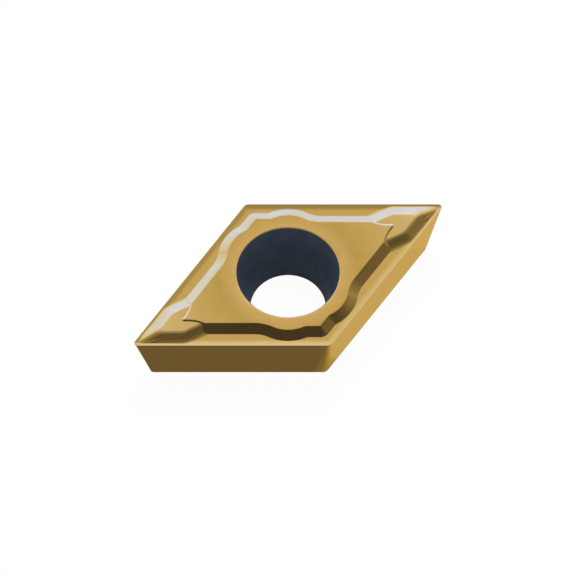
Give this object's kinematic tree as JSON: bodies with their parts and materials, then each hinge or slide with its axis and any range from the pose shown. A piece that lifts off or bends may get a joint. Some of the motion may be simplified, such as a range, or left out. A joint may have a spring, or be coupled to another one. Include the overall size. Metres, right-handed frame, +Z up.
{
  "type": "carbide insert",
  "caption": "Rhombic indexable turning insert with positive flanks, a moulded chip breaker and a countersunk screw hole",
  "frame": {"origin": "on the flat seat face, on the axis of the screw hole", "axes": "+X along the long diagonal to one cutting nose, +Y along the short diagonal, +Z up through the screw hole from the seat face to the chip breaker"},
  "size_m": [0.0202, 0.0106, 0.0043],
  "materials": {
    "coat": "satin"
  },
  "bodies": {
    "root": {"insert": "coat"}
  },
  "joints": []
}
